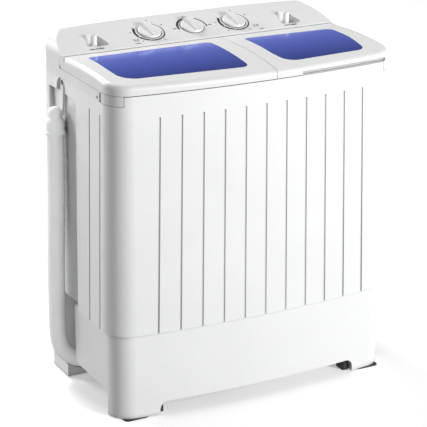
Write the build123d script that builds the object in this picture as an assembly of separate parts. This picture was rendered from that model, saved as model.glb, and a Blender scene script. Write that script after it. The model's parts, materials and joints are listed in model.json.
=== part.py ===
from build123d import *
import math
import os

# Portable twin tub washer, in millimetres.
# Origin: middle of the footprint on the floor. +Z up, the front faces -Y, and the
# wash tub is on -X with the spin tub on +X, as seen by someone in front of it.

# ---- driving dimensions -------------------------------------------------------------
WIDTH = 609.0  # across the side walls at the lid seam
DEPTH = 350.0  # front to back at the lid seam
SEAM_Z = 650.0  # top of the deck, where the lids close
SKIRT_TOP_Z = 178.5  # bottom edge of the cabinet
PAD_H = 2.0  # rubber foot pads
DRAFT = 0.018  # outward flare of the walls per millimetre downwards
FRONT_BOW = 21.0  # how far the front's middle stands ahead of its ends
FRONT_R = 45.0  # vertical front corners
REAR_R = 30.0  # vertical rear corners
WALL = 4.5  # cabinet wall
BAND_H = 19.0  # height of the deck's outer band
BAND_END_X = 279.5  # where the band stops and the cabinet's front reaches up
SEAM_GAP = 0.8  # open line between neighbouring mouldings

GROOVES = 11  # vertical grooves across the front
GROOVE_PITCH = 43.9
GROOVE_MIDDLE_X = 6.5
GROOVE_R = 2.3
GROOVE_TOP_Z = 606.0
GROOVE_FAN = 0.04  # sideways spread of the groove ends, per millimetre from the middle

HINGE_Y = 69.0  # lid hinge axis
HINGE_Z = 668.0
BARREL_Y = 71.0  # round rear edge of the lids
BARREL_Z = 662.0
BARREL_R = 11.0
LID_CROWN_Y = -30.0  # highest line of the lids
LID_CROWN_Z = 678.1
LID_CROWN_R = 957.0
LID_EDGE_R = 11.0
LID_SKIN = 3.0
LID_SIDE = 6.0  # lid walls, thick enough behind the rounded edge
SPLIT_REAR_X = 37.0  # line between the two lids, at the rear and at the front
SPLIT_FRONT_X = 29.0
WINDOW_T = 3.0

PANEL_Y = 77.5  # front edge of the control panel
PANEL_Z = 675.4
PANEL_SLOPE = 19.0
PANEL_WALL = 3.0
KNOB_Y = 118.5
KNOB_X = (-95.0, 0.0, 95.0)
KNOB_R = 23.4
DIAL_SHAFT_R = 3.0
WASH_SPOUT = (-219.0, 111.0)
SPIN_SPOUT = (210.0, 107.0)
SPOUT_R = 6.5
SPOUT_TOP_Z = 699.0
POCKET_FLOOR_Z = 671.0

TUB_Y = -50.0  # both tubs are centred on this line
WASH_X = -136.5
WASH_TUB = (-285.0, 12.0, -148.0, 48.0)  # inside faces: x low, x high, y low, y high
WASH_FLOOR_Z = 250.0
TUB_TOP_Z = 642.0
TUB_WALL = 3.0
SPIN_X = 160.0
SPIN_TUB_R = 108.0
SPIN_FLOOR_Z = 265.0
BASKET_R = 94.0
BASKET_FLOOR_Z = 286.0
BASKET_TOP_Z = 612.0
PULSATOR_R = 90.0
SHAFT_R = 6.0
RUNNING = 0.05  # radial clearance of a shaft in its bearing
PULLEY_Z = (125.0, 141.0)
BIG_FLOOR_R = 74.0  # bottom of the belt groove in the large pulley
SMALL_FLOOR_R = 18.0
BELT_GAP = 0.3
BELT_T = 6.0
WASH_MOTOR_X = 10.0
TRAY_Z = 56.0
SPIN_MOTOR_Z = (88.0, 190.0)

HOSE_D = 35.0
HOSE_X = -318.5
BAY_FLOOR_X = -297.5  # bottom of the hose bay in the left wall
BAY_Y = (6.0, 133.0)
BAY_TOP_Z = 605.0
SLOT_Y = (56.0, 97.0)
SLOT_TOP_Z = 632.0
NICHE_X = -262.0  # depth of the hose niche in the skirt
NICHE_Y = (35.0, 118.0)
# The hose's route, from the drain outlet inside the base up to its cuff.
HOSE_ROUTE = (
    (-234.5, 84.0, 30.0),
    (-270.5, 84.0, 30.0),
    (-302.5, 84.0, 48.5),
    (-321.0, 84.0, 80.5),
    (-322.5, 83.5, 150.0),
    (-322.0, 81.5, 270.0),
    (-318.5, 79.0, 400.0),
    (-318.5, 79.0, 521.0),
)
CUFF_TOP_Z = 575.0
CLIP_X = -312.0  # open side of the hose clip, flush with the cabinet's widest part
CRADLE_Y = 77.0  # front of the rear left foot, which cradles the hose's lower bend
CRADLE_Z = 30.0
VALVE_X = -140.0
VALVE_Y = 84.0

HALF_W = WIDTH / 2
FRONT_Y = -DEPTH / 2
BACK_Y = DEPTH / 2
SLOPE_TAN = math.tan(math.radians(PANEL_SLOPE))


# ---- helpers ------------------------------------------------------------------------
def block(x0, x1, y0, y1, z0, z1):
    return Pos((x0 + x1) / 2, (y0 + y1) / 2, (z0 + z1) / 2) * Box(x1 - x0, y1 - y0, z1 - z0)


def rounded_block(x0, x1, y0, y1, z0, z1, radius):
    return fillet(block(x0, x1, y0, y1, z0, z1).edges().filter_by(Axis.Z), radius)


def post(x, y, z0, z1, radius):
    return Pos(x, y, (z0 + z1) / 2) * Cylinder(radius, z1 - z0)


def pipe(x, y, z0, z1, outer, inner):
    return post(x, y, z0, z1, outer) - post(x, y, z0 - 1, z1 + 1, inner)


def rod_x(x0, x1, y, z, radius):
    return Pos((x0 + x1) / 2, y, z) * Rot(0, 90, 0) * Cylinder(radius, x1 - x0)


def rod_y(x, y0, y1, z, radius):
    return Pos(x, (y0 + y1) / 2, z) * Rot(90, 0, 0) * Cylinder(radius, y1 - y0)


def turned(x, y, points):
    """A solid of revolution about a vertical axis, from (radius, z) points."""
    profile = make_face(Polyline(*[(r, 0, z) for r, z in points], close=True))
    return Pos(x, y, 0) * revolve(profile, Axis.Z)


def prism_x(points, x0, x1):
    """A straight prism along X, from (y, z) points."""
    profile = make_face(Polyline(*[(x0, y, z) for y, z in points], close=True))
    return extrude(profile, amount=x1 - x0, dir=(1, 0, 0))


def prism_z(points, z0, z1):
    """A straight prism along Z, from (x, y) points."""
    profile = make_face(Polyline(*[(x, y, z0) for x, y in points], close=True))
    return extrude(profile, amount=z1 - z0, dir=(0, 0, 1))


def plan(z, grow):
    """The cabinet's outline at height z, with every side moved out by grow."""
    side, front, back = HALF_W + grow, FRONT_Y - grow, BACK_Y + grow
    edges = [
        Line((-side, back), (side, back)),
        Line((side, back), (side, front + FRONT_BOW)),
        ThreePointArc((side, front + FRONT_BOW), (0, front), (-side, front + FRONT_BOW)),
        Line((-side, front + FRONT_BOW), (-side, back)),
    ]
    face = make_face(edges)
    rear = [v for v in face.vertices() if v.Y > 0]
    face = fillet(rear, REAR_R + grow)
    fronts = [v for v in face.vertices() if v.Y < 0]
    return Pos(0, 0, z) * fillet(fronts, FRONT_R + grow)


def cabinet_solid(z0, z1, inset):
    """The flared body between two heights, with its walls moved in by inset."""
    low, high = [plan(z, (SEAM_Z - z) * DRAFT - inset) for z in (z0, z1)]
    return loft([low, high], ruled=True)


def front_y(x, z):
    """The front surface's y at a point of the flared, bowed wall."""
    radius = (HALF_W**2 + FRONT_BOW**2) / (2 * FRONT_BOW) + (SEAM_Z - z) * DRAFT
    centre = FRONT_Y + (HALF_W**2 + FRONT_BOW**2) / (2 * FRONT_BOW)
    return centre - math.sqrt(radius**2 - x**2)


def stick(start, end, radius):
    """A straight round bar between two points."""
    line = Line(start, end)
    section = Plane(origin=line @ 0, z_dir=line % 0) * Circle(radius)
    return extrude(section, amount=line.length)


# ---- cabinet, base and deck ---------------------------------------------------------
def hose_bay(grow):
    """The space of the hose bay in the left wall, grown for the wall behind it."""
    floor = BAY_FLOOR_X + grow
    low, high = BAY_Y[0] - grow, BAY_Y[1] + grow
    outer = -HALF_W - 40
    bay = prism_z(
        [(outer, low - 34), (floor, low + 6), (floor, high), (outer, high)],
        SKIRT_TOP_Z - 20,
        BAY_TOP_Z + grow,
    )
    radius = (SLOT_Y[1] - SLOT_Y[0]) / 2 + grow
    middle = (SLOT_Y[0] + SLOT_Y[1]) / 2
    slot_round_z = SLOT_TOP_Z + grow - radius
    slot = block(outer, floor, middle - radius, middle + radius, BAY_TOP_Z - 10, slot_round_z)
    return bay + slot + rod_x(outer, floor, middle, slot_round_z, radius)


def cover_zone(z0, z1, x, inset0, inset1):
    """A sheet that follows the flared rear wall, between two insets."""
    sheet = cabinet_solid(z0, z1, inset0) - cabinet_solid(z0 - 1, z1 + 1, inset1)
    return sheet & block(-x, x, 100, 300, z0, z1)


def cabinet_shell():
    top = SEAM_Z - BAND_H - SEAM_GAP
    outer = cabinet_solid(SKIRT_TOP_Z, SEAM_Z - SEAM_GAP, 0) - hose_bay(0)
    inner = cabinet_solid(SKIRT_TOP_Z - 1, SEAM_Z, WALL) - hose_bay(WALL)
    closed = top + SEAM_GAP - 0.05
    band = block(-400, 400, -300, -102.5, top, SEAM_Z + 9)
    band += block(-400, 400, -102.5, 300, closed, SEAM_Z + 9)
    band -= block(-BAND_END_X, BAND_END_X, -310, -100, top - 9, SEAM_Z + 19)
    shell = (outer - inner) - band
    for index in range(GROOVES):
        offset = (index - (GROOVES - 1) / 2) * GROOVE_PITCH
        x_top = GROOVE_MIDDLE_X + offset
        x_low = x_top + offset * GROOVE_FAN
        low_z = SKIRT_TOP_Z - 4
        start = (x_top, front_y(x_top, GROOVE_TOP_Z), GROOVE_TOP_Z)
        shell -= stick((x_low, front_y(x_low, low_z), low_z), start, GROOVE_R)
    for side in (-1, 1):
        for y in (-103.0, -56.0):
            top_x = side * (HALF_W + (SEAM_Z - GROOVE_TOP_Z) * DRAFT)
            low_x = side * (HALF_W + (SEAM_Z - SKIRT_TOP_Z + 4) * DRAFT)
            start = (top_x, y, GROOVE_TOP_Z)
            shell -= stick((low_x, y * 1.01, SKIRT_TOP_Z - 4), start, GROOVE_R)
    shell -= cover_zone(219.5, 605.5, 215.5, -1, 2.0)
    shell -= block(-200, 200, 150, 200, 232, 592)
    gland_hole = rod_y(250, 150, 200, 560, 9.0)
    return shell - gland_hole


def base_skirt():
    low, high = 12.0, SKIRT_TOP_Z + 4
    inset_low, inset_high = 9.0, 8.5
    flare = (SEAM_Z - SKIRT_TOP_Z) * DRAFT

    def hull(extra):
        bottom = plan(PAD_H, flare - inset_low - extra)
        top = plan(high, flare - inset_high - extra)
        return loft([bottom, top], ruled=True)

    def niche(grow):
        return block(-400, NICHE_X + grow, NICHE_Y[0] - grow, NICHE_Y[1] + grow, 0, 300)

    outer = hull(0) - niche(0)
    ledge = cabinet_solid(SKIRT_TOP_Z, high, WALL + 0.3) - hose_bay(WALL + 0.5)
    ledge -= niche(0)
    inner = hull(4.0) - niche(3.0)
    bay_wall = hose_bay(WALL + 0.3) & block(-400, 0, -300, 300, SKIRT_TOP_Z, 300)
    skirt = (outer + ledge) - inner - bay_wall
    corner = hull(0) - niche(0)
    for x0, x1 in ((-400, -210), (221, 400)):
        for y0, y1 in ((-300, -119), (121, 300)):
            skirt += corner & block(x0, x1, y0, y1, PAD_H, low)
    for y0, y1 in ((-300, -100), (120, 300)):
        arch = block(-214, 225, y0, y1, -10, 28)
        skirt -= fillet(arch.edges().filter_by(Axis.Y).group_by(Axis.Z)[-1], 16)
    for x0, x1 in ((-400, -217), (228, 400)):
        arch = block(x0, x1, -115, 116, -10, 52)
        skirt -= fillet(arch.edges().filter_by(Axis.X).group_by(Axis.Z)[-1], 14)
    skirt -= block(-300, -240, 52, 112, -10, 118)
    reveal = block(-400, 400, -300, 300, SKIRT_TOP_Z - 3, SKIRT_TOP_Z)
    skirt -= reveal - hull(2.2)
    cradle = hull(0) & block(-400, NICHE_X + 0.5, CRADLE_Y, 125, PAD_H, CRADLE_Z)
    skirt += cradle - hose_solid(HOSE_D / 2 + 0.8)
    for x in (44, 252):
        skirt += block(x, x + 4, -200, 200, 49, TRAY_Z) & hull(2)
    return skirt


def foot_pads():
    pads = []
    for x in (-262, 264):
        for y in (-143, 143):
            pads.append(rounded_block(x - 26, x + 26, y - 19, y + 19, 0, PAD_H, 8))
    return pads


def foot_boots():
    """Rubber blocks on the inner faces of the front legs."""
    boots = []
    for x0, x1 in ((-213.95, -200), (210, 224.95)):
        boots.append(rounded_block(x0, x1, -152, -122, 0.5, 24, 5))
    return boots


def back_cover():
    cover = cover_zone(220, 605, 215, 0.3, 1.8)
    for row in range(7):
        for x in (-110, -30, 50, 130):
            z = 250 + row * 12
            cover -= block(x - 28, x + 28, 150, 200, z, z + 4)
    return cover


def back_cover_screws():
    screws = []
    for x in (-207.5, 207.5):
        for z in (240, 412, 590):
            y = BACK_Y + (SEAM_Z - z) * DRAFT
            screws.append(rod_y(x, y - 0.1, y + 0.8, z, 4.0))
    return screws


def split_x(y):
    share = (90 - y) / 280
    return SPLIT_REAR_X + (SPLIT_FRONT_X - SPLIT_REAR_X) * share


def hinge_lug_places():
    return {"wash": (-268.0, 2.0), "spin": (68.0, 268.0)}


def top_frame():
    band_z = SEAM_Z - BAND_H
    rim = cabinet_solid(band_z, SEAM_Z, 0)
    front_bar = rim - cabinet_solid(band_z - 1, SEAM_Z + 1, WALL + 0.3)
    frame = rim - cabinet_solid(band_z - 1, TUB_TOP_Z, 4.0)
    reach = BAND_END_X + SEAM_GAP
    frame -= front_bar & block(-reach, reach, -300, -100, band_z - 1, SEAM_Z + 1)
    x0, x1, y0, y1 = WASH_TUB
    frame -= rounded_block(x0, x1, y0, y1, 600, 700, 30)
    frame -= post(SPIN_X, TUB_Y, 600, 700, SPIN_TUB_R - 6)
    frame -= rounded_block(-286, 286, 92, 164, 600, 700, 12)
    for places in hinge_lug_places().values():
        for x in places:
            lug = block(x - 4, x + 4, HINGE_Y - 4.2, HINGE_Y + 4.2, SEAM_Z - 1, HINGE_Z)
            lug += rod_x(x - 4, x + 4, HINGE_Y, HINGE_Z, 4.2)
            frame += lug - rod_x(x - 5, x + 5, HINGE_Y, HINGE_Z, 2.0 + RUNNING)
    for side in (-1, 1):
        x = side * HALF_W
        frame -= block(x - 3, x + 3, -108, -100, band_z - 2, SEAM_Z - 1)
        frame -= rod_x(x - 2, x + 2, -91, 637, 3.2)
    return frame - hose_bay(0.3)


def corner_screws():
    screws = []
    for side in (-1, 1):
        start, end = sorted((side * (HALF_W - 2), side * (HALF_W - 0.6)))
        screws.append(rod_x(start, end, -91, 637, 2.9))
    return screws


# ---- lids ---------------------------------------------------------------------------
def lid_profile(drop):
    """Side view of a lid, (y, z), offset inwards by drop."""
    angle = math.radians(6)
    barrel = BARREL_R - drop
    crown = LID_CROWN_R - drop
    centre_z = LID_CROWN_Z - LID_CROWN_R
    joint_y = BARREL_Y - barrel * math.sin(angle)
    joint_z = BARREL_Z + barrel * math.cos(angle)
    tip_y = FRONT_Y - 30
    tip_z = centre_z + math.sqrt(crown**2 - (tip_y - LID_CROWN_Y) ** 2)
    low_z = SEAM_Z + SEAM_GAP - (5 if drop else 0)
    mid_angle = math.radians(-2)
    edges = [
        ThreePointArc(
            (0, tip_y, tip_z), (0, LID_CROWN_Y, centre_z + crown), (0, joint_y, joint_z)
        ),
        ThreePointArc(
            (0, joint_y, joint_z),
            (0, BARREL_Y + barrel * math.cos(mid_angle), BARREL_Z + barrel * math.sin(mid_angle)),
            (0, BARREL_Y + 3, BARREL_Z - math.sqrt(barrel**2 - 9)),
        ),
        Line((0, BARREL_Y + 3, BARREL_Z - math.sqrt(barrel**2 - 9)), (0, BARREL_Y - 2, low_z)),
        Line((0, BARREL_Y - 2, low_z), (0, tip_y, low_z)),
        Line((0, tip_y, low_z), (0, tip_y, tip_z)),
    ]
    return make_face(edges)


def lid_plan(side, inset):
    """The lid's outline as a tall solid, on the wash side or the spin side."""
    body = extrude(plan(600, -inset), amount=120)
    gap = SEAM_GAP * 0.75 + inset
    rear, front = split_x(120), split_x(-200)
    if side == "wash":
        points = [(-400, 120), (rear - gap, 120), (front - gap, -200), (-400, -200)]
    else:
        points = [(400, 120), (rear + gap, 120), (front + gap, -200), (400, -200)]
    return body & prism_z(points, 600, 720)


def lid_outer(side):
    solid = extrude(Pos(-400, 0, 0) * lid_profile(0), amount=800, dir=(1, 0, 0))
    solid = solid & lid_plan(side, 0)
    top = solid.faces().sort_by(Axis.Z)[-1]
    outside = []
    for edge in top.edges():
        middle = edge.center()
        near_split = abs(middle.X - split_x(middle.Y)) < 2
        if middle.Y < BARREL_Y - 4 and not near_split:
            outside.append(edge)
    return fillet(outside, LID_EDGE_R)


def window_outline(side, grow, z0, z1):
    if side == "wash":
        points = [(-264, 41), (-269, -60), (-267, -125), (-11, -141), (-7, -50), (-2, 41)]
        radii = (10, 90, 36, 16, 300, 14)
    else:
        points = [(70, 34), (65, -90), (71, -142), (250, -133), (261, -60), (264, 22)]
        radii = (12, 80, 28, 22, 200, 18)
    face = make_face(Polyline(*points, close=True))
    for (x, y), radius in zip(points, radii):
        corner = min(face.vertices(), key=lambda v: math.hypot(v.X - x, v.Y - y))
        face = fillet(corner, radius)
    if grow:
        face = offset(face, amount=grow, kind=Kind.ARC)
    return extrude(Pos(0, 0, z0) * face, amount=z1 - z0)


def grip_cove(grow):
    """The finger grip under the spin lid's front edge, following the bowed front."""
    x0, x1 = 86 - grow, 285 + grow
    points = [(x, front_y(x, SEAM_Z), SEAM_Z - 1) for x in (x0, (x0 + x1) / 2, x1)]
    path = ThreePointArc(*points)
    section = Plane(origin=path @ 0, z_dir=path % 0) * Circle(8.5 + grow)
    return sweep(section, path)


def lid_frame(side):
    outer = lid_outer(side)
    inner = extrude(Pos(-400, 0, 0) * lid_profile(LID_SKIN), amount=800, dir=(1, 0, 0))
    inner = inner & lid_plan(side, LID_SIDE)
    rear_wall = block(-400, 400, BARREL_Y + BARREL_R - LID_SKIN, 120, 640, 700)
    inner = inner - rear_wall
    for x in hinge_lug_places()[side]:
        for rib in (x - 7.5, x + 4.5):
            inner -= block(rib, rib + 3, HINGE_Y - 9, 90, 656, 700)
    whole = extrude(Pos(-400, 0, 0) * lid_profile(0), amount=800, dir=(1, 0, 0))
    ledge_top = Pos(0, 0, -WINDOW_T) * whole
    ledge_low = Pos(0, 0, -WINDOW_T - 2.4) * whole
    inner -= window_outline(side, 9, 640, 700) - ledge_low
    if side == "spin":
        inner -= grip_cove(LID_SKIN)
        outer -= grip_cove(0)
    frame = outer - inner
    frame -= window_outline(side, 0.5, 640, 700) - ledge_top
    frame -= window_outline(side, -7, 640, 700)
    for x in hinge_lug_places()[side]:
        frame -= block(x - 4.5, x + 4.5, HINGE_Y - 6, 100, 640, HINGE_Z + 4.8)
        frame -= rod_x(x - 9, x + 9, HINGE_Y, HINGE_Z, 2.0)
    return frame


def lid_window(side):
    solid = extrude(Pos(-400, 0, 0) * lid_profile(0), amount=800, dir=(1, 0, 0))
    pane = solid - Pos(0, 0, -WINDOW_T + 0.05) * solid
    return pane & window_outline(side, 0, 655, 700)


def lid_pins(side):
    return [
        rod_x(x - 7.5, x + 7.5, HINGE_Y, HINGE_Z, 2.0) for x in hinge_lug_places()[side]
    ]


# ---- control panel ------------------------------------------------------------------
def panel_solid(inset):
    top_y = BACK_Y - 4 - inset * 0.5
    rise = PANEL_Z - inset / math.cos(math.radians(PANEL_SLOPE))
    points = [
        (PANEL_Y + inset, SEAM_Z - (5 if inset else 0)),
        (BACK_Y - inset, SEAM_Z - (5 if inset else 0)),
        (BACK_Y - inset, rise + (top_y - PANEL_Y) * SLOPE_TAN - 9),
        (top_y, rise + (top_y - PANEL_Y) * SLOPE_TAN),
        (PANEL_Y + inset, rise + inset * SLOPE_TAN),
    ]
    slab = prism_x(points, -400, 400)
    slab -= rod_x(-400, 400, BARREL_Y, BARREL_Z, BARREL_R + 1.3 + inset)
    side, top = HALF_W - inset, 706.5 - inset
    end_r = 42.0 - inset
    elevation = make_face(
        [
            Line((-side, 0, 600), (side, 0, 600)),
            Line((side, 0, 600), (side, 0, top - end_r - 3)),
            TangentArc(
                (side, 0, top - end_r - 3), (side - end_r, 0, top - 3), tangent=(0, 0, 1)
            ),
            ThreePointArc(
                (side - end_r, 0, top - 3), (0, 0, top + 2), (-side + end_r, 0, top - 3)
            ),
            TangentArc(
                (-side, 0, top - end_r - 3), (-side + end_r, 0, top - 3), tangent=(0, 0, 1)
            ),
            Line((-side, 0, 600), (-side, 0, top - end_r - 3)),
        ]
    )
    slab = slab & extrude(elevation, amount=400, dir=(0, 1, 0))
    return slab & extrude(plan(600, -inset), amount=160)


def pocket(spout, grow):
    """The rounded triangular recess round an inlet spout."""
    x, y = spout
    face = make_face(
        Polyline(
            (x - 21, y - 17),
            (x + 29, y - 19),
            (x + 14, y + 19),
            (x - 11, y + 24),
            close=True,
        )
    )
    face = fillet(face.vertices(), 6)
    if grow:
        face = offset(face, amount=grow, kind=Kind.ARC)
    floor = POCKET_FLOOR_Z - grow
    return extrude(Pos(0, 0, floor) * face, amount=60)


def dial_plane(x):
    z = PANEL_Z + (KNOB_Y - PANEL_Y) * SLOPE_TAN
    tilt = math.radians(PANEL_SLOPE)
    return Plane(origin=(x, KNOB_Y, z), x_dir=(1, 0, 0), z_dir=(0, -math.sin(tilt), math.cos(tilt)))


def control_panel():
    inner = panel_solid(PANEL_WALL)
    shell = panel_solid(0)
    for spout in (WASH_SPOUT, SPIN_SPOUT):
        inner -= pocket(spout, 2.5)
    shell -= inner
    for spout in (WASH_SPOUT, SPIN_SPOUT):
        shell -= pocket(spout, 0)
        shell -= post(*spout, 600, 700, SPOUT_R + 1)
    for x in KNOB_X:
        shell -= dial_plane(x) * Cylinder(5.0, 20)
    for x0, x1 in ((-310, -301), (301, 310)):
        shell -= rod_x(x0, x1, BARREL_Y + 9.5, BARREL_Z - 9.5, 3.2)
    return shell


def inlet_spout(place):
    x, y = place
    shoulder_z = POCKET_FLOOR_Z - 0.5
    spout = pipe(x, y, shoulder_z, SPOUT_TOP_Z, SPOUT_R, 4.5)
    stem = pipe(x, y, 620, shoulder_z, SPOUT_R + 0.9, 4.5)
    flange = pipe(x, y, POCKET_FLOOR_Z - 5.5, POCKET_FLOOR_Z - 2.5, 10, 4.5)
    return fillet(spout.edges().group_by(Axis.Z)[-1], 0.8) + stem + flange


def knob(x):
    """A flat round knob with a wedge grip that widens towards the pointer's end."""
    disc = Pos(0, 0, 2.4) * Cylinder(KNOB_R, 3.8)
    disc = fillet(disc.edges().group_by(Axis.Z)[-1], 1.6)
    tip = Plane(origin=(0, -22.5, 4), x_dir=(1, 0, 0), z_dir=(0, 1, 0))
    end = Plane(origin=(0, 24.5, 4), x_dir=(1, 0, 0), z_dir=(0, 1, 0))
    narrow = tip * make_face(Polyline((-1.8, 0), (1.8, 0), (1.2, -3.2), (-1.2, -3.2), close=True))
    wide = end * make_face(Polyline((-11, 0), (11, 0), (9.6, -8), (-9.6, -8), close=True))
    wedge = loft([narrow, wide], ruled=True)
    wedge = wedge & Pos(0, 0, 10) * Cylinder(KNOB_R - 0.6, 20)
    dish = Pos(0, 0, 52.5) * Rot(87, 0, 0) * Cylinder(42.0, 90)
    wedge -= dish
    body = disc + wedge - Pos(0, 0, 1) * Cylinder(DIAL_SHAFT_R, 8)
    return dial_plane(x) * body


def dial_shaft(x):
    return dial_plane(x) * (Pos(0, 0, -12.5) * Cylinder(DIAL_SHAFT_R, 35))


def dial_body(x, width, length):
    case = Pos(0, 0, -18.2) * Box(width, 40, 30)
    case = fillet(case.edges().filter_by(Axis.Z), 4)
    neck = Pos(0, 0, -33.2 - length / 2) * Box(width * 0.6, 26, length)
    body = case + neck - Pos(0, 0, -17) * Cylinder(DIAL_SHAFT_R + RUNNING, 34)
    return dial_plane(x) * body


# ---- wash side ----------------------------------------------------------------------
def wash_tub():
    x0, x1, y0, y1 = WASH_TUB
    t = TUB_WALL
    tub = rounded_block(x0 - t, x1 + t, y0 - t, y1 + t, WASH_FLOOR_Z - t, TUB_TOP_Z, 33)
    tub += rounded_block(x0 - 7, x1 + 7, y0 - 7, y1 + 7, TUB_TOP_Z - 4, TUB_TOP_Z, 37)
    tub -= rounded_block(x0, x1, y0, y1, WASH_FLOOR_Z, TUB_TOP_Z + 1, 30)
    tub -= post(WASH_X, TUB_Y, 200, 300, 9)
    tub -= rod_y(-140, 40, 60, 262, 11)
    for x in (-88.0, -15.0):
        tub += block(x, x + 3, y1 - 12, y1, 330, 600)
    for x in (-88.0, -20.0):
        tub += block(x, x + 8, y1 - 14, y1 - 12, 330, 600)
    tub += block(-85, -15, y1 - 12, y1, 324, 328)
    return tub


def lint_filter():
    y1 = WASH_TUB[3]
    body = block(-84.5, -15.5, y1 - 11.5, y1 - 0.5, 328.5, 470)
    body -= block(-78, -22, y1 - 20, y1 - 2.5, 340, 445)
    for column in range(5):
        x = -78 + 11.2 * (column + 0.5)
        body += block(x - 1, x + 1, y1 - 9, y1 - 6, 339, 446)
    for row in range(6):
        z = 355 + 15 * row
        body += block(-79, -21, y1 - 9, y1 - 6, z - 1, z + 1)
    grip = block(-60, -40, y1 - 18, y1 - 11, 452, 464)
    return body + grip


def overflow_cover():
    y1 = WASH_TUB[3]
    cover = rounded_block(-176, -104, y1 - 14, y1 + 10, 284, 600, 6)
    cover &= block(-200, -80, y1 - 20, y1, 280, 610)
    cover -= block(-173, -107, y1 - 11, y1 + 1, 281, 597)
    for row in range(9):
        z = 296 + row * 9
        cover -= block(-166, -114, y1 - 20, y1 - 8, z, z + 4)
    for row in range(4):
        z = 540 + row * 9
        cover -= block(-166, -114, y1 - 20, y1 - 8, z, z + 4)
    return cover


def pulsator():
    floor = WASH_FLOOR_Z + 3
    dish = turned(
        WASH_X,
        TUB_Y,
        [
            (SHAFT_R, floor),
            (PULSATOR_R - 6, floor),
            (PULSATOR_R, floor + 5),
            (PULSATOR_R - 3, floor + 9),
            (60, floor + 7),
            (26, floor + 12),
            (14, floor + 24),
            (SHAFT_R, floor + 25),
        ],
    )
    for index in range(6):
        turn = Pos(WASH_X, TUB_Y, 0) * Rot(0, 0, 60 * index)
        fin = prism_x([(-6, floor + 4), (6, floor + 4), (2, floor + 22), (-2, floor + 22)], 10, 84)
        cut = Pos(84, 0, floor + 34) * Rot(90, 0, 0) * Cylinder(24, 40)
        dish += turn * (fin - cut)
    return dish


def pulsator_screw():
    z = WASH_FLOOR_Z + 3 + 25
    head = Pos(WASH_X, TUB_Y, z + 2) * (Cylinder(7, 4) - Pos(0, 0, 2) * Box(10, 1.6, 2.4))
    return head


def drive_shaft():
    return post(WASH_X, TUB_Y, PULLEY_Z[0] - 4, WASH_FLOOR_Z + 28, SHAFT_R)


def wash_bearing_housing():
    top = WASH_FLOOR_Z - TUB_WALL
    return turned(
        WASH_X,
        TUB_Y,
        [
            (SHAFT_R + RUNNING, 152),
            (16, 152),
            (20, 160),
            (20, top - 14),
            (38, top - 6),
            (46, top - 6),
            (46, top),
            (SHAFT_R + RUNNING, top),
        ],
    )


def pulley(x, floor_r, spokes):
    low, high = PULLEY_Z
    rim = floor_r + BELT_T
    body = turned(
        x,
        TUB_Y,
        [
            (SHAFT_R if spokes else 5.0, low),
            (rim, low),
            (rim, low + 1.5),
            (floor_r, low + 3),
            (floor_r, high - 3),
            (rim, high - 1.5),
            (rim, high),
            (SHAFT_R if spokes else 5.0, high),
        ],
    )
    for index in range(spokes):
        turn = Pos(x, TUB_Y, 0) * Rot(0, 0, 360 / spokes * index)
        hole = rounded_block(28, 62, -14, 14, low - 1, high + 1, 8)
        body -= turn * hole
    return body


def drive_belt():
    low, high = PULLEY_Z[0] + 3.3, PULLEY_Z[1] - 3.3

    def loop(extra):
        big = Pos(WASH_X, TUB_Y) * Circle(BIG_FLOOR_R + extra)
        small = Pos(WASH_MOTOR_X, TUB_Y) * Circle(SMALL_FLOOR_R + extra)
        hull = make_hull([*big.edges(), *small.edges()])
        return extrude(Pos(0, 0, low) * hull, amount=high - low)

    return loop(BELT_GAP + BELT_T) - loop(BELT_GAP)


def motor_case(x, z0, z1, radius):
    case = turned(
        x,
        TUB_Y,
        [(0, z0), (radius - 12, z0), (radius - 6, z0 + 14), (radius, z0 + 22),
         (radius, z1 - 22), (radius - 6, z1 - 14), (radius - 12, z1), (0, z1)],
    )
    for index in range(12):
        turn = Pos(x, TUB_Y, 0) * Rot(0, 0, 30 * index)
        case -= turn * block(radius - 4, radius + 5, -4, 4, z0 + 30, z1 - 30)
    return case


def wash_motor_body():
    case = motor_case(WASH_MOTOR_X, 150, 236, 46)
    return case - post(WASH_MOTOR_X, TUB_Y, 100, 190, 5.0 + RUNNING)


def wash_motor_bracket():
    low, high = 236.0, 240.0
    plate = rounded_block(-44, 64, -104, 4, low, high, 10)
    for y in (-94, -6):
        plate += post(-34, y, high, WASH_FLOOR_Z - TUB_WALL, 6)
        plate += post(4, y, high, WASH_FLOOR_Z - TUB_WALL, 6)
    return plate


def motor_shaft():
    return post(WASH_MOTOR_X, TUB_Y, PULLEY_Z[0] - 3, 188, 5.0)


# ---- drain --------------------------------------------------------------------------
def drain_valve_housing():
    body = post(VALVE_X, VALVE_Y, 200, 300, 22)
    body += block(VALVE_X - 15, VALVE_X + 15, WASH_TUB[3] + TUB_WALL, VALVE_Y, 248, 277)
    body -= post(VALVE_X, VALVE_Y, 206, 301, 19)
    body -= post(VALVE_X, VALVE_Y, 190, 210, 12)
    body -= rod_y(VALVE_X, 40, VALVE_Y, 262, 11)
    body += pipe(VALVE_X, VALVE_Y, 300, 304, 22, 4)
    return body


def drain_valve_plug():
    return turned(
        VALVE_X,
        VALVE_Y,
        [(0, 206.6), (15, 206.6), (16, 210), (16, 214), (5, 218), (3, 222),
         (3, 324), (6, 326), (6, 330), (0, 330)],
    )


def drain_valve_bellows():
    points = [(3.4, 222.4), (9.0, 222.4)]
    folds = 6
    step = (299.0 - 223.0) / folds
    for index in range(folds):
        points.append((14.5, 223.0 + step * (index + 0.5)))
        points.append((9.0, 223.0 + step * (index + 1)))
    points += [(9.0, 299.7), (6.5, 299.7), (6.5, 298.5)]
    for index in reversed(range(folds)):
        points.append((12.3, 223.0 + step * (index + 0.5)))
        points.append((6.8, 223.6 + step * index))
    points[-1] = (6.8, 223.9)
    points.append((3.4, 223.9))
    return turned(VALVE_X, VALVE_Y, points)


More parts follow.
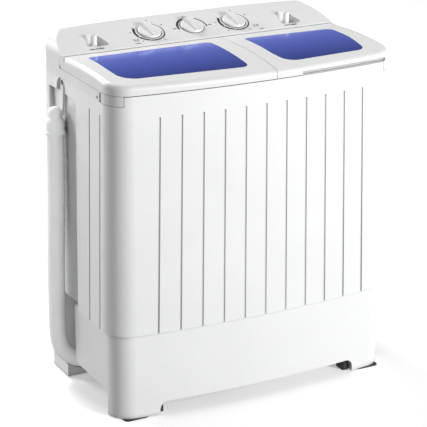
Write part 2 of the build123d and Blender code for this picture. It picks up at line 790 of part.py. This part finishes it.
def drain_outlet_elbow():
    bend = 32.0
    x_end = HOSE_ROUTE[0][0]
    z_end = HOSE_ROUTE[0][2]
    path = FilletPolyline(
        (VALVE_X, VALVE_Y, 200), (VALVE_X, VALVE_Y, z_end), (x_end + 0.01, VALVE_Y, z_end),
        radius=bend - 2,
    )
    section = Plane(origin=path @ 0, z_dir=path % 0)
    elbow = sweep(section * Circle(14), path) - sweep(section * Circle(11.5), path)
    return elbow + rod_x(x_end + 0.01, x_end + 8, VALVE_Y, z_end, 19.5)


def hose_path():
    """Straight runs joined by arcs that are as large as the runs allow."""
    radii = []
    for before, here, after in zip(HOSE_ROUTE, HOSE_ROUTE[1:], HOSE_ROUTE[2:]):
        first = Vector(*here) - Vector(*before)
        second = Vector(*after) - Vector(*here)
        half_turn = math.radians(first.get_angle(second)) / 2
        radii.append(0.45 * min(first.length, second.length) / math.tan(half_turn))
    return FilletPolyline(*HOSE_ROUTE, radius=radii), radii


def hose_solid(radius):
    path = hose_path()[0]
    return sweep(Plane(origin=path @ 0, z_dir=path % 0) * Circle(radius), path)


def drain_hose():
    path, radii = hose_path()
    hose = hose_solid(HOSE_D / 2)
    print("hose radii", [round(radius) for radius in radii])
    expected = math.pi * (HOSE_D / 2) ** 2 * path.length
    print("hose length", round(path.length), "volume ratio", round(hose.volume / expected, 4))
    return hose


def drain_hose_cuff():
    x, y, low = HOSE_ROUTE[-1]
    return turned(
        x,
        y,
        [(0, low), (20, low), (21, low + 2), (21, low + 6), (19.5, low + 8), (19, low + 24),
         (16.5, low + 30), (13.5, low + 34), (13.5, low + 46), (11, low + 51),
         (6, CUFF_TOP_Z), (0, CUFF_TOP_Z)],
    )


def hose_hanger():
    """A tapered strap from the screw down to a clip round the cuff's neck."""
    y = (SLOT_Y[0] + SLOT_Y[1]) / 2 - 0.5
    x0, x1 = BAY_FLOOR_X - 6.1, BAY_FLOOR_X - 3.1
    outline = [(y - 7, 630), (y + 7, 630), (y + 6, 608), (82, 560), (76, 560), (y - 6, 608)]
    strap = prism_x(outline, x0, x1)
    eye = rod_x(BAY_FLOOR_X - 3.1, BAY_FLOOR_X - 0.1, y, 623.5, 6.5)
    ring = pipe(HOSE_X, HOSE_ROUTE[-1][1], 558, 565, 16.9, 13.9)
    clip = ring & block(CLIP_X, 0, -200, 200, 500, 600)
    return strap + eye + clip - rod_x(BAY_FLOOR_X - 10, BAY_FLOOR_X, y, 623.5, 2.5)


def hose_hanger_screw():
    y = (SLOT_Y[0] + SLOT_Y[1]) / 2 - 0.5
    stem = rod_x(BAY_FLOOR_X - 6.1, BAY_FLOOR_X - 0.1, y, 623.5, 2.4)
    return stem + rod_x(BAY_FLOOR_X - 8.2, BAY_FLOOR_X - 6.1, y, 623.5, 4.8)


# ---- spin side ----------------------------------------------------------------------
def spin_tub_outer():
    low = SPIN_FLOOR_Z - TUB_WALL
    tub = post(SPIN_X, TUB_Y, low, TUB_TOP_Z, SPIN_TUB_R)
    tub -= post(SPIN_X, TUB_Y, SPIN_FLOOR_Z, TUB_TOP_Z + 1, SPIN_TUB_R - TUB_WALL)
    return tub - post(SPIN_X, TUB_Y, 200, 300, 20)


def spin_tub_seal():
    top = SPIN_FLOOR_Z + 3
    return turned(
        SPIN_X,
        TUB_Y,
        [
            (SHAFT_R + RUNNING, 226),
            (12, 226),
            (12, 240),
            (17, 244),
            (13, 248),
            (17, 252),
            (20, 256),
            (20, SPIN_FLOOR_Z),
            (26, SPIN_FLOOR_Z),
            (26, top),
            (14, top),
            (14, 256),
            (SHAFT_R + RUNNING, 250),
        ],
    )


def spin_basket():
    basket = turned(
        SPIN_X,
        TUB_Y,
        [
            (SHAFT_R, BASKET_FLOOR_Z),
            (BASKET_R - 10, BASKET_FLOOR_Z),
            (BASKET_R, BASKET_FLOOR_Z + 12),
            (BASKET_R + 3, BASKET_TOP_Z - 4),
            (BASKET_R + 3, BASKET_TOP_Z),
            (BASKET_R - 8, BASKET_TOP_Z),
            (BASKET_R - 8, BASKET_TOP_Z - 3),
            (BASKET_R, BASKET_TOP_Z - 8),
            (BASKET_R - 3, BASKET_FLOOR_Z + 14),
            (BASKET_R - 12, BASKET_FLOOR_Z + 4),
            (24, BASKET_FLOOR_Z + 4),
            (14, BASKET_FLOOR_Z + 24),
            (SHAFT_R, BASKET_FLOOR_Z + 24),
        ],
    )
    holes = []
    for row in range(5):
        for index in range(12):
            angle = 30 * index + 15 * (row % 2)
            z = BASKET_FLOOR_Z + 40 + 56 * row
            spoke = Rot(0, 0, angle) * Pos(BASKET_R, 0, z) * Rot(0, 90, 0) * Cylinder(3, 20)
            holes.append(Pos(SPIN_X, TUB_Y, 0) * spoke)
    return basket - Compound(holes)


def spin_press_plate():
    z = BASKET_TOP_Z - 60
    plate = post(SPIN_X, TUB_Y, z, z + 4, 84)
    plate += pipe(SPIN_X, TUB_Y, z, z + 10, 84, 80)
    for radius, count in ((24, 6), (46, 10), (66, 14)):
        for index in range(count):
            spot = Rot(0, 0, 360 / count * index) * Pos(radius, 0, z + 2)
            plate -= Pos(SPIN_X, TUB_Y, 0) * spot * Cylinder(5, 12)
    plate += post(SPIN_X, TUB_Y, z + 4, z + 16, 9)
    return plate


def spin_shaft():
    return post(SPIN_X, TUB_Y, SPIN_MOTOR_Z[1] - 40, BASKET_FLOOR_Z + 22, SHAFT_R)


def brake_drum():
    return turned(
        SPIN_X,
        TUB_Y,
        [(SHAFT_R, 196), (14, 196), (14, 200), (38, 200), (38, 216), (34, 216),
         (34, 204), (14, 204), (14, 212), (SHAFT_R, 212)],
    )


def brake_lever():
    arm = rounded_block(206, 214, -70, 14, 203, 213, 3)
    arm += post(210, 5, 203, 213, 9)
    pad = block(202.2, 206, -66, -36, 203, 213)
    return arm + pad - post(210, 5, 200, 216, 4.0 + RUNNING)


def brake_post():
    return post(210, 5, TRAY_Z + 2.5, 202.7, 7) + post(210, 5, 202, 220, 4.0)


def spin_motor_body():
    case = motor_case(SPIN_X, *SPIN_MOTOR_Z, 54)
    for index in range(3):
        turn = Pos(SPIN_X, TUB_Y, 0) * Rot(0, 0, 120 * index + 30)
        case += turn * rounded_block(30, 74, -11, 11, SPIN_MOTOR_Z[0], SPIN_MOTOR_Z[0] + 5, 6)
    bore_low = SPIN_MOTOR_Z[1] - 44
    return case - post(SPIN_X, TUB_Y, bore_low, 200, SHAFT_R + RUNNING)


def spin_motor_mounts():
    mounts = []
    low, high = TRAY_Z + 2.5, SPIN_MOTOR_Z[0]
    for index in range(3):
        points = [(0, low), (13, low)]
        for fold in range(4):
            z = low + (high - low) * (fold + 0.5) / 4.5
            points.append((11 if fold % 2 else 14, z))
        points += [(9, high), (0, high)]
        angle = math.radians(120 * index + 30)
        x, y = SPIN_X + 62 * math.cos(angle), TUB_Y + 62 * math.sin(angle)
        mounts.append(turned(x, y, points))
    return mounts


def motor_tray():
    tray = block(42, 260, -148, 148, TRAY_Z, TRAY_Z + 2.5)
    for y in (-120, 60, 110):
        tray -= rounded_block(60, 120, y, y + 22, TRAY_Z - 1, TRAY_Z + 4, 6)
    return tray


def capacitor():
    can = post(150, 90, TRAY_Z + 2.5, TRAY_Z + 70, 20)
    return fillet(can.edges().group_by(Axis.Z)[-1], 4) + post(150, 90, TRAY_Z + 70, TRAY_Z + 78, 5)


def power_cord_gland():
    gland = rod_y(250, 168, 182.6, 560, 7.5) + rod_y(250, 176.7, 179, 560, 11)
    gland += rod_y(250, 169, 171.8, 560, 11) + rod_y(250, 171.8, 176.7, 560, 9)
    return gland - rod_y(250, 150, 200, 560, 3.75)


# ---- write every piece --------------------------------------------------------------
def pieces():
    yield "base_skirt", base_skirt()
    yield "foot_pads", foot_pads()
    yield "foot_boots", foot_boots()
    yield "cabinet_shell", cabinet_shell()
    yield "back_cover", back_cover()
    yield "back_cover_screws", back_cover_screws()
    yield "top_frame", top_frame()
    yield "corner_screws", corner_screws()
    yield "control_panel", control_panel()
    yield "wash_inlet_spout", inlet_spout(WASH_SPOUT)
    yield "spin_inlet_spout", inlet_spout(SPIN_SPOUT)
    for side in ("wash", "spin"):
        yield f"{side}_lid_frame", lid_frame(side)
        yield f"{side}_lid_window", lid_window(side)
        yield f"{side}_lid_pins", lid_pins(side)
    for name, x, width, length in zip(
        ("wash_timer", "wash_selector", "spin_timer"), KNOB_X, (48, 38, 48), (14, 4, 8)
    ):
        yield f"{name}_knob", knob(x)
        yield f"{name}_shaft", dial_shaft(x)
        yield f"{name}_body", dial_body(x, width, length)
    yield "wash_tub", wash_tub()
    yield "lint_filter", lint_filter()
    yield "overflow_cover", overflow_cover()
    yield "pulsator", pulsator()
    yield "pulsator_screw", pulsator_screw()
    yield "pulsator_shaft", drive_shaft()
    yield "wash_bearing_housing", wash_bearing_housing()
    yield "wash_pulley", pulley(WASH_X, BIG_FLOOR_R, 5)
    yield "motor_pulley", pulley(WASH_MOTOR_X, SMALL_FLOOR_R, 0)
    yield "drive_belt", drive_belt()
    yield "wash_motor_body", wash_motor_body()
    yield "wash_motor_bracket", wash_motor_bracket()
    yield "wash_motor_shaft", motor_shaft()
    yield "drain_valve_housing", drain_valve_housing()
    yield "drain_valve_plug", drain_valve_plug()
    yield "drain_valve_bellows", drain_valve_bellows()
    yield "drain_outlet_elbow", drain_outlet_elbow()
    yield "drain_hose", drain_hose()
    yield "drain_hose_cuff", drain_hose_cuff()
    yield "hose_hanger", hose_hanger()
    yield "hose_hanger_screw", hose_hanger_screw()
    yield "spin_tub_outer", spin_tub_outer()
    yield "spin_tub_seal", spin_tub_seal()
    yield "spin_basket", spin_basket()
    yield "spin_press_plate", spin_press_plate()
    yield "spin_shaft", spin_shaft()
    yield "brake_drum", brake_drum()
    yield "brake_lever", brake_lever()
    yield "brake_post", brake_post()
    yield "spin_motor_body", spin_motor_body()
    yield "spin_motor_mounts", spin_motor_mounts()
    yield "motor_tray", motor_tray()
    yield "capacitor", capacitor()
    yield "power_cord_gland", power_cord_gland()


os.makedirs("parts", exist_ok=True)
for name, shape in pieces():
    if isinstance(shape, list):
        shape = Compound(shape)
    export_step(shape, f"parts/{name}.step")
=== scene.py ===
import json
import math

import bmesh
import bpy
from mathutils import Matrix, Vector


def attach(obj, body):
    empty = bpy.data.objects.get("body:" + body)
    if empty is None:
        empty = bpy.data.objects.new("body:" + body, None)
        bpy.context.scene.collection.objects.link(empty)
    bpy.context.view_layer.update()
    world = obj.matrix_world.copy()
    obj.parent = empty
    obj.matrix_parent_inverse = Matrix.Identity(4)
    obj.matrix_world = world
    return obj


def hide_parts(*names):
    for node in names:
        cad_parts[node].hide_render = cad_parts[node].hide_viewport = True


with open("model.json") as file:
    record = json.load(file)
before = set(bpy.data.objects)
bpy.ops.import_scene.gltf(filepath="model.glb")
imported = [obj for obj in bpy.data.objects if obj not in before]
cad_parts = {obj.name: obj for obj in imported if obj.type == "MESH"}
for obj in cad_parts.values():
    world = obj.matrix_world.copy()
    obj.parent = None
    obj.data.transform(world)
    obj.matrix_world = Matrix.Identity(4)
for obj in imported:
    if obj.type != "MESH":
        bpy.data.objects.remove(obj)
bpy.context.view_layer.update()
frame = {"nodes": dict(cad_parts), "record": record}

# ---- camera -------------------------------------------------------------------------
EYE = Vector((-1.6260, -3.0264, 1.5758))
VIEW_AZIMUTH = math.radians(-28.07)
VIEW_ELEVATION = math.radians(19.94)
VIEW_ROLL = math.radians(0.32)
LENS_MM = 153.0

# ---- places shared with the CAD, in metres ------------------------------------------
HOSE_ROUTE = (
    (-0.2345, 0.084, 0.030),
    (-0.2705, 0.084, 0.030),
    (-0.3025, 0.084, 0.0485),
    (-0.321, 0.084, 0.0805),
    (-0.3225, 0.0835, 0.150),
    (-0.322, 0.0815, 0.270),
    (-0.3185, 0.079, 0.400),
    (-0.3185, 0.079, 0.521),
)
HOSE_D = 0.035
PANEL_Y = 0.0775
PANEL_Z = 0.6754
PANEL_SLOPE = math.radians(19)
DIAL_Y = 0.1185
DIAL_X = {"wash_timer": -0.095, "wash_selector": 0.0, "spin_timer": 0.095}
INK_T = 0.00025
INK_LIFT = 0.00002  # keeps the ink's underside off the panel
RING_R = 0.0242  # thin ring printed round each knob
RING_W = 0.0010
TIMER_R = 0.0294  # inner radius of a timer's widening arc
# Segments of a timer's arc: start and end in degrees, thickness at each end in millimetres.
TIMER_ARCS = (
    (34, 60, 0.8, 1.5),
    (64, 148, 1.6, 2.5),
    (152, 198, 2.5, 3.4),
    (202, 242, 3.5, 4.7),
    (246, 302, 4.8, 4.8),
)
TIMER_TICKS = (32, 62, 150, 200, 244, 304)
TIMER_CAPTIONS = (15, 62, 150, 222, 275)
MACHINE_MIDDLE_Z = 0.4  # height that the lights look at


# ---- camera and hose ----------------------------------------------------------------
def make_camera():
    data = bpy.data.cameras.new("camera")
    data.sensor_width = 36.0
    data.lens = LENS_MM
    data.clip_end = 50.0
    camera = bpy.data.objects.new("camera", data)
    bpy.context.scene.collection.objects.link(camera)
    back = Vector(
        (
            math.sin(VIEW_AZIMUTH) * math.cos(VIEW_ELEVATION),
            -math.cos(VIEW_AZIMUTH) * math.cos(VIEW_ELEVATION),
            math.sin(VIEW_ELEVATION),
        )
    )
    turn = back.to_track_quat("Z", "Y").to_matrix()
    camera.matrix_world = Matrix.Translation(EYE) @ (
        turn @ Matrix.Rotation(VIEW_ROLL, 3, "Z")
    ).to_4x4()
    bpy.context.scene.camera = camera


def spline_piece(name, points, diameter):
    curve = bpy.data.curves.new(name, "CURVE")
    curve.dimensions = "3D"
    curve.bevel_depth = diameter / 2
    curve.bevel_resolution = 10
    curve.resolution_u = 24
    curve.use_fill_caps = True
    spline = curve.splines.new("NURBS")
    spline.points.add(len(points) - 1)
    for point, place in zip(spline.points, points):
        point.co = (*place, 1.0)
    spline.order_u = 3
    spline.use_endpoint_u = True
    piece = bpy.data.objects.new(name, curve)
    bpy.context.scene.collection.objects.link(piece)
    return piece


# ---- materials ----------------------------------------------------------------------
def material(name):
    made = bpy.data.materials.new(name)
    made.use_nodes = True
    shader = made.node_tree.nodes["Principled BSDF"]
    return made, made.node_tree, shader


def noise(tree, scale, detail=4.0, rough=0.55, stretch=(1, 1, 1)):
    nodes, links = tree.nodes, tree.links
    place = nodes.new("ShaderNodeTexCoord")
    mapping = nodes.new("ShaderNodeMapping")
    mapping.inputs["Scale"].default_value = stretch
    texture = nodes.new("ShaderNodeTexNoise")
    texture.inputs["Scale"].default_value = scale
    texture.inputs["Detail"].default_value = detail
    texture.inputs["Roughness"].default_value = rough
    links.new(place.outputs["Object"], mapping.inputs["Vector"])
    links.new(mapping.outputs["Vector"], texture.inputs["Vector"])
    return texture.outputs["Fac"]


def ramp(tree, source, low, high, start=0.3, end=0.7):
    """A colour that runs from low to high as source goes from start to end."""
    node = tree.nodes.new("ShaderNodeValToRGB")
    node.color_ramp.elements[0].position = start
    node.color_ramp.elements[1].position = end
    node.color_ramp.elements[0].color = (*low, 1)
    node.color_ramp.elements[1].color = (*high, 1)
    tree.links.new(source, node.inputs["Fac"])
    return node.outputs["Color"]


def span(tree, source, low, high):
    node = tree.nodes.new("ShaderNodeMapRange")
    node.inputs["To Min"].default_value = low
    node.inputs["To Max"].default_value = high
    tree.links.new(source, node.inputs["Value"])
    return node.outputs["Result"]


def bump(tree, shader, source, strength, distance):
    node = tree.nodes.new("ShaderNodeBump")
    node.inputs["Strength"].default_value = strength
    node.inputs["Distance"].default_value = distance
    tree.links.new(source, node.inputs["Height"])
    tree.links.new(node.outputs["Normal"], shader.inputs["Normal"])


def crease(tree, colour, floor, reach=0.012):
    """Paint shade into a colour in seams, grooves and under overhangs, down to floor, from ambient
    occlusion.
    """
    near = tree.nodes.new("ShaderNodeAmbientOcclusion")
    near.inputs["Distance"].default_value = reach
    near.samples = 8
    # painted shade: the colour darkens where ambient occlusion finds nearby surfaces
    shade = ramp(tree, near.outputs["AO"], (floor, floor, floor), (1, 1, 1), 0.0, 0.9)
    mix = tree.nodes.new("ShaderNodeMix")
    mix.data_type = "RGBA"
    mix.blend_type = "MULTIPLY"
    mix.inputs["Factor"].default_value = 1.0
    tree.links.new(colour, mix.inputs["A"])
    tree.links.new(shade, mix.inputs["B"])
    return mix.outputs["Result"]


def plastic(
    name, colour, rough, grain=900.0, depth=0.00002, variation=0.02, coat=0.0, painted_shade=None
):
    """Moulded plastic: a faint cloudiness, uneven gloss and a fine moulded grain.

    painted_shade is how dark the painted shade in the deepest seams and under overhangs is, as a
    share of the colour.
    """
    made, tree, shader = material(name)
    cloud = noise(tree, 6.0, 3.0)
    low = [max(0.0, c * (1 - variation)) for c in colour]
    high = [min(1.0, c * (1 + variation)) for c in colour]
    tint = ramp(tree, cloud, low, high)
    # painted shade: seams, grooves and overhangs are darkened in the colour
    if painted_shade:
        tint = crease(tree, tint, painted_shade)
    tree.links.new(tint, shader.inputs["Base Color"])
    tree.links.new(
        span(tree, noise(tree, 40.0), rough * 0.85, rough * 1.15), shader.inputs["Roughness"]
    )
    bump(tree, shader, noise(tree, grain, 2.0), 0.25, depth)
    shader.inputs["Coat Weight"].default_value = coat
    shader.inputs["Coat Roughness"].default_value = 0.12
    return made


def metal(name, colour, rough, stretch=(1, 1, 30)):
    made, tree, shader = material(name)
    grain = noise(tree, 220.0, 5.0, stretch=stretch)
    low = [c * 0.85 for c in colour]
    tree.links.new(ramp(tree, grain, low, colour), shader.inputs["Base Color"])
    tree.links.new(span(tree, grain, rough * 0.8, rough * 1.3), shader.inputs["Roughness"])
    bump(tree, shader, grain, 0.15, 0.00003)
    shader.inputs["Metallic"].default_value = 1.0
    return made


def window_material():
    """Tinted glossy pane with painted light: lighter blue towards the rear of the lid, deeper blue
    towards the front.
    """
    made, tree, shader = material("blue_window")
    place = tree.nodes.new("ShaderNodeTexCoord")
    split = tree.nodes.new("ShaderNodeSeparateXYZ")
    tree.links.new(place.outputs["Object"], split.inputs["Vector"])
    along = tree.nodes.new("ShaderNodeMapRange")
    along.inputs["From Min"].default_value = -0.15
    along.inputs["From Max"].default_value = 0.05
    tree.links.new(split.outputs["Y"], along.inputs["Value"])
    # painted light: the pane's blue is lighter towards the rear of the lid
    tint = ramp(tree, along.outputs["Result"], (0.008, 0.026, 0.22), (0.095, 0.155, 0.74), 0.0, 1.0)
    tree.links.new(tint, shader.inputs["Base Color"])
    tree.links.new(span(tree, noise(tree, 30.0), 0.14, 0.22), shader.inputs["Roughness"])
    shader.inputs["Specular IOR Level"].default_value = 0.35
    bump(tree, shader, noise(tree, 14.0, 1.0), 0.05, 0.0004)
    return made


def make_materials():
    white = (0.87, 0.875, 0.88)
    return {
        # white_body and white_top carry painted shade in their seams and under overhangs
        "white_body": plastic("white_body", white, 0.34, coat=0.15, painted_shade=0.15),
        "white_top": plastic("white_top", (0.84, 0.84, 0.835), 0.38, painted_shade=0.6),
        "white_fitting": plastic("white_fitting", (0.86, 0.86, 0.85), 0.36),
        "white_knob": plastic("white_knob", (0.90, 0.90, 0.90), 0.22, coat=0.3),
        "hose_grey": plastic("hose_grey", (0.93, 0.935, 0.94), 0.55, 300.0, 0.00008, 0.04),
        "hose_cuff": plastic("hose_cuff", (0.94, 0.945, 0.95), 0.5, 400.0, 0.00005, 0.03),
        "rubber_feet": plastic("rubber_feet", (0.03, 0.03, 0.032), 0.7, 500.0, 0.0001, 0.2),
        "grey_cover": plastic("grey_cover", (0.58, 0.59, 0.60), 0.5, 700.0, 0.00005, 0.04),
        "tub_plastic": plastic("tub_plastic", (0.80, 0.83, 0.86), 0.3),
        "basket_plastic": plastic("basket_plastic", (0.78, 0.82, 0.86), 0.3),
        "pulsator_plastic": plastic("pulsator_plastic", (0.35, 0.50, 0.74), 0.3, variation=0.05),
        "pulley_plastic": plastic("pulley_plastic", (0.05, 0.05, 0.055), 0.45, variation=0.15),
        "black_rubber": plastic("black_rubber", (0.025, 0.025, 0.025), 0.65, 500.0, 0.0001, 0.2),
        "capacitor_case": plastic("capacitor_case", (0.75, 0.75, 0.70), 0.45),
        "motor_alloy": metal("motor_alloy", (0.60, 0.61, 0.63), 0.42),
        "bracket_steel": metal("bracket_steel", (0.50, 0.52, 0.55), 0.38),
        "pin_steel": metal("pin_steel", (0.65, 0.65, 0.66), 0.25),
        "screw_steel": metal("screw_steel", (0.16, 0.16, 0.165), 0.35),
        "blue_window": window_material(),
    }


def dress_nodes(made):
    slots = {s["node"]: s["material_slot"] for s in frame["record"]["subparts"]}
    for name, node in frame["nodes"].items():
        node.data.materials.clear()
        node.data.materials.append(made[slots[name]])


# ---- printed dials ------------------------------------------------------------------
def panel_frame(x, y, lift):
    """The frame of a spot on the sloping panel: X across, Y up the slope, Z out of it."""
    z = PANEL_Z + (y - PANEL_Y) * math.tan(PANEL_SLOPE)
    return (
        Matrix.Translation((x, y, z))
        @ Matrix.Rotation(PANEL_SLOPE, 4, "X")
        @ Matrix.Translation((0, 0, lift))
    )


def ink_arc(mesh, start, end, radius, width, steps=3.0):
    """An arc of ink, degrees clockwise from the top; width may be a function of the share."""
    count = max(2, int(abs(end - start) / steps))
    rows = []
    for index in range(count + 1):
        share = index / count
        angle = math.radians(start + (end - start) * share)
        outer = radius + (width(share) if callable(width) else width)
        corners = []
        for reach in (radius, outer):
            for level in (0.0, INK_T):
                place = (reach * math.sin(angle), reach * math.cos(angle), level)
                corners.append(mesh.verts.new(place))
        rows.append(corners)
    for one, two in zip(rows, rows[1:]):
        for a, b in ((0, 1), (1, 3), (3, 2), (2, 0)):
            mesh.faces.new((one[a], one[b], two[b], two[a]))
    for cap in (rows[0], rows[-1]):
        mesh.faces.new((cap[0], cap[1], cap[3], cap[2]))


def ink_bar(mesh, x, y, width, height, turn=0.0):
    spot = Matrix.Translation((x, y, INK_T / 2)) @ Matrix.Rotation(turn, 4, "Z")
    size = Matrix.Diagonal((width, height, INK_T, 1.0))
    bmesh.ops.create_cube(mesh, size=1.0, matrix=spot @ size)


def finish_ink(name, mesh, place, made):
    bmesh.ops.recalc_face_normals(mesh, faces=mesh.faces)
    data = bpy.data.meshes.new(name)
    mesh.to_mesh(data)
    mesh.free()
    piece = bpy.data.objects.new(name, data)
    piece.data.materials.append(made)
    piece.matrix_world = place
    bpy.context.scene.collection.objects.link(piece)
    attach(piece, "root")
    return piece


def timer_print(name, made):
    mesh = bmesh.new()
    ink_arc(mesh, 0, 360, RING_R, RING_W)
    for start, end, w0, w1 in TIMER_ARCS:
        ink_arc(mesh, start, end, TIMER_R, lambda s, a=w0, b=w1: (a + (b - a) * s) / 1000)
    for angle in TIMER_TICKS:
        turn = math.radians(angle)
        ink_bar(mesh, 0.0358 * math.sin(turn), 0.0358 * math.cos(turn), 0.0007, 0.0030, -turn)
    for angle in TIMER_CAPTIONS:
        turn = math.radians(angle)
        ink_bar(mesh, 0.0405 * math.sin(turn), 0.0405 * math.cos(turn), 0.0034, 0.0013)
    finish_ink(f"{name}_print", mesh, panel_frame(DIAL_X[name], DIAL_Y, INK_LIFT), made)


def selector_print(name, made):
    mesh = bmesh.new()
    ink_arc(mesh, 0, 360, RING_R, RING_W)
    ink_arc(mesh, -100, -14, 0.0285, 0.0040)
    ink_arc(mesh, 16, 100, 0.0305, 0.0025)
    for side in (-1, 1):
        ink_bar(mesh, side * 0.0395, -0.001, 0.0080, 0.0016)
    ink_bar(mesh, -0.001, 0.0365, 0.011, 0.0014)
    finish_ink(f"{name}_print", mesh, panel_frame(DIAL_X[name], DIAL_Y, INK_LIFT), made)


def icon(name, x, y, made):
    """A small tub outline with a wave, the size of a caption's picture."""
    mesh = bmesh.new()
    for across in (-0.0045, 0.0045):
        ink_bar(mesh, across, 0.001, 0.0008, 0.0075)
    ink_bar(mesh, 0, -0.0028, 0.0098, 0.0008)
    for across in (-0.0022, 0.0022):
        ink_bar(mesh, across, 0.0012, 0.0034, 0.0007, 0.35 if across < 0 else -0.35)
    finish_ink(name, mesh, panel_frame(x, y, INK_LIFT), made)


def label_bars(name, x, y, widths, made, height=0.0016):
    """A row of short bars that stands where a caption would be."""
    mesh = bmesh.new()
    across = -sum(widths) / 2
    for width in widths:
        ink_bar(mesh, across + width / 2, 0, width * 0.86, height)
        across += width
    finish_ink(name, mesh, panel_frame(x, y, INK_LIFT), made)


def make_prints():
    ink = plastic("black_ink", (0.02, 0.02, 0.022), 0.5, variation=0.1)
    timer_print("wash_timer", ink)
    timer_print("spin_timer", ink)
    selector_print("wash_selector", ink)
    label_bars("wash_inlet_label", -0.2243, 0.084, (0.012, 0.007, 0.0125), ink, 0.0022)
    label_bars("spin_inlet_label", 0.208, 0.0835, (0.014, 0.016), ink, 0.0022)
    icon("wash_icon", -0.134, 0.096, ink)
    label_bars("wash_icon_label", -0.135, 0.085, (0.014,), ink, 0.0014)
    icon("spin_icon", 0.134, 0.096, ink)
    label_bars("spin_icon_label", 0.141, 0.0835, (0.011,), ink, 0.0014)


# ---- floor and light ----------------------------------------------------------------
def make_floor():
    mesh = bmesh.new()
    bmesh.ops.create_grid(mesh, x_segments=2, y_segments=2, size=9.0)
    data = bpy.data.meshes.new("floor")
    mesh.to_mesh(data)
    mesh.free()
    floor = bpy.data.objects.new("floor", data)
    bpy.context.scene.collection.objects.link(floor)
    made, tree, shader = material("floor")
    shader.inputs["Base Color"].default_value = (0.92, 0.92, 0.92, 1)
    shader.inputs["Roughness"].default_value = 0.9
    shader.inputs["Specular IOR Level"].default_value = 0.1
    shader.inputs["Emission Color"].default_value = (1, 1, 1, 1)
    shader.inputs["Emission Strength"].default_value = 0.32
    floor.data.materials.append(made)
    floor.visible_diffuse = False


def area_light(name, azimuth, elevation, distance, size, power):
    """A soft box that looks at the middle of the machine; azimuth 0 is in front of it."""
    data = bpy.data.lights.new(name, "AREA")
    data.shape = "DISK"
    data.size = size
    data.energy = power
    light = bpy.data.objects.new(name, data)
    bpy.context.scene.collection.objects.link(light)
    a, e = math.radians(azimuth), math.radians(elevation)
    way = Vector((math.sin(a) * math.cos(e), -math.cos(a) * math.cos(e), math.sin(e)))
    light.location = Vector((0, 0, MACHINE_MIDDLE_Z)) + distance * way
    light.rotation_euler = way.to_track_quat("Z", "Y").to_euler()
    return light


def make_light(hose_parts):
    """Soft boxes for the machine, and one more that lights only the hose."""
    world = bpy.data.worlds.new("studio")
    world.use_nodes = True
    world.node_tree.nodes["Background"].inputs["Color"].default_value = (1, 1, 1, 1)
    world.node_tree.nodes["Background"].inputs["Strength"].default_value = 0.25
    bpy.context.scene.world = world
    area_light("key", 29, 15, 4.5, 1.6, 184)
    area_light("side", -140, 24, 4.0, 1.4, 76)
    area_light("rear", -170, 40, 4.0, 1.4, 103)
    fill = area_light("hose_fill", -50, 15, 4.0, 1.4, 55)
    lit = bpy.data.collections.new("hose_fill_receivers")
    for part in hose_parts:
        lit.objects.link(part)
    fill.light_linking.receiver_collection = lit
    bpy.context.scene.view_settings.view_transform = "Standard"


# ---- the model ----------------------------------------------------------------------
make_camera()
materials = make_materials()
hose = spline_piece("drain_hose_tube", HOSE_ROUTE, HOSE_D)
hose.data.materials.append(materials["hose_grey"])
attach(hose, "root")
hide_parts("drain_hose")
dress_nodes(materials)
make_prints()
make_floor()
make_light((hose, frame["nodes"]["drain_hose_cuff"]))
